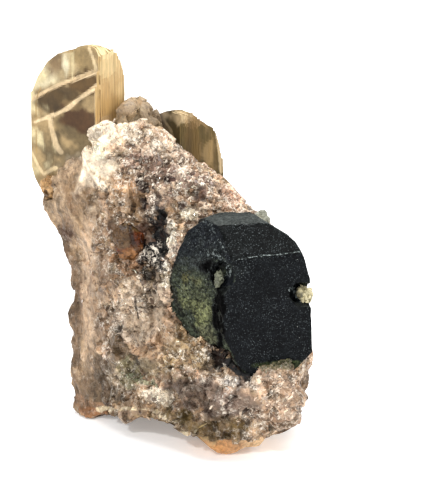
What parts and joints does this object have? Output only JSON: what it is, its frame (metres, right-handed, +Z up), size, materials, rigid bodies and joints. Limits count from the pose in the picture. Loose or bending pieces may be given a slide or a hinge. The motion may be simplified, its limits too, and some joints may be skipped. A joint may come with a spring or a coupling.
{
  "type": "triphylite specimen",
  "caption": "Upright pegmatite fragment with a dark, blocky triphylite crystal at one side and two muscovite books on top; it rests on its own broken feet.",
  "frame": {"origin": "middle of the footprint's box, on the surface that the specimen stands on", "axes": "+Z up along the specimen's height; -Y is the display side, which the triphylite crystal faces; +X to its right"},
  "size_m": [0.0318, 0.028, 0.0435],
  "materials": {
    "quartz_feldspar": "granular, sparkling, broken",
    "triphylite": "dark blue-black, fine sparkle, worn edges",
    "pale_muscovite": "pearly golden-brown cleavage leaves",
    "olive_muscovite": "pearly olive-brown cleavage leaves",
    "smoky_quartz": "glassy, smoky",
    "tan_feldspar": "satin, orange-tan",
    "rusty_feldspar": "satin, rust-brown",
    "clear_quartz": "glassy, translucent greenish-grey",
    "pale_green_phosphate": "satin, pale yellow-green"
  },
  "bodies": {
    "root": {"quartz_feldspar_matrix": "quartz_feldspar", "triphylite_crystal": "triphylite", "pale_muscovite_book": "pale_muscovite", "olive_muscovite_book": "olive_muscovite", "smoky_quartz": "smoky_quartz", "feldspar_foot": "tan_feldspar", "tan_feldspar": "tan_feldspar", "rusty_feldspar": "rusty_feldspar", "quartz_knob": "clear_quartz", "notch_grain": "pale_green_phosphate", "pit_grain": "pale_green_phosphate"}
  },
  "joints": []
}
